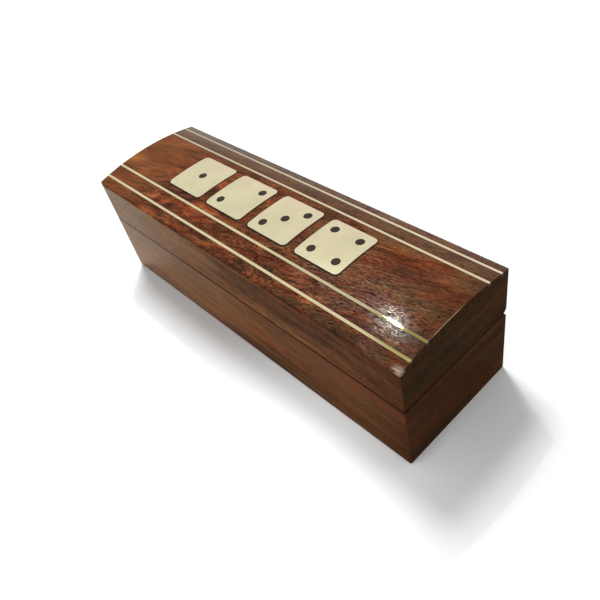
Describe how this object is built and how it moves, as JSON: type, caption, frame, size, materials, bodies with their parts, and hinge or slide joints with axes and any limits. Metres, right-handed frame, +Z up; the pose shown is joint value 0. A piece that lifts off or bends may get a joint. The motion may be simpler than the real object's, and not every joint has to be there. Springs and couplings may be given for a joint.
{
  "type": "dice box with hinged lid",
  "caption": "Long hardwood box with a domed, brass-inlaid lid on two butt hinges and a felt-floored well for dice.",
  "frame": {"origin": "on the table, under the middle of the closed box", "axes": "+X along the box's length to its right-hand end seen from the front, -Y is the front, +Y the hinge side, +Z up"},
  "size_m": [0.15, 0.0454, 0.0456],
  "materials": {
    "rosewood": "clear gloss lacquer over dark brown rosewood",
    "figured_rosewood": "clear gloss lacquer over reddish, strongly figured rosewood",
    "inlay_brass": "ground flush and polished, under lacquer",
    "dark_filler": "dark brown filler, polished flush",
    "hinge_brass": "plain pressed brass",
    "felt": "wine red felt"
  },
  "bodies": {
    "base": {"base_front_wall": "rosewood", "base_back_wall": "rosewood", "base_left_end": "rosewood", "base_right_end": "rosewood", "base_floor": "rosewood", "floor_felt": "felt", "left_hinge_base_leaf": "hinge_brass", "right_hinge_base_leaf": "hinge_brass", "left_hinge_pin": "hinge_brass", "right_hinge_pin": "hinge_brass", "base_hinge_screws": "hinge_brass"},
    "lid": {"lid_front_wall": "rosewood", "lid_back_wall": "rosewood", "lid_left_end": "rosewood", "lid_right_end": "rosewood", "lid_top": "figured_rosewood", "inlay_strip_front_outer": "inlay_brass", "inlay_strip_front_inner": "inlay_brass", "inlay_strip_back_inner": "inlay_brass", "inlay_strip_back_outer": "inlay_brass", "inlay_die_face_1": "inlay_brass", "inlay_die_face_2": "inlay_brass", "inlay_die_face_3": "inlay_brass", "inlay_die_face_4": "inlay_brass", "inlay_pips_1": "dark_filler", "inlay_pips_2": "dark_filler", "inlay_pips_3": "dark_filler", "inlay_pips_4": "dark_filler", "left_hinge_lid_leaf": "hinge_brass", "right_hinge_lid_leaf": "hinge_brass", "lid_hinge_screws": "hinge_brass"}
  },
  "joints": [
    {"name": "lid_hinge", "type": "hinge", "parent": "base", "child": "lid", "pos_m": [0, 0.02125, 0.0262], "axis": [-1, 0, 0], "range_deg": [0, 110]}
  ]
}
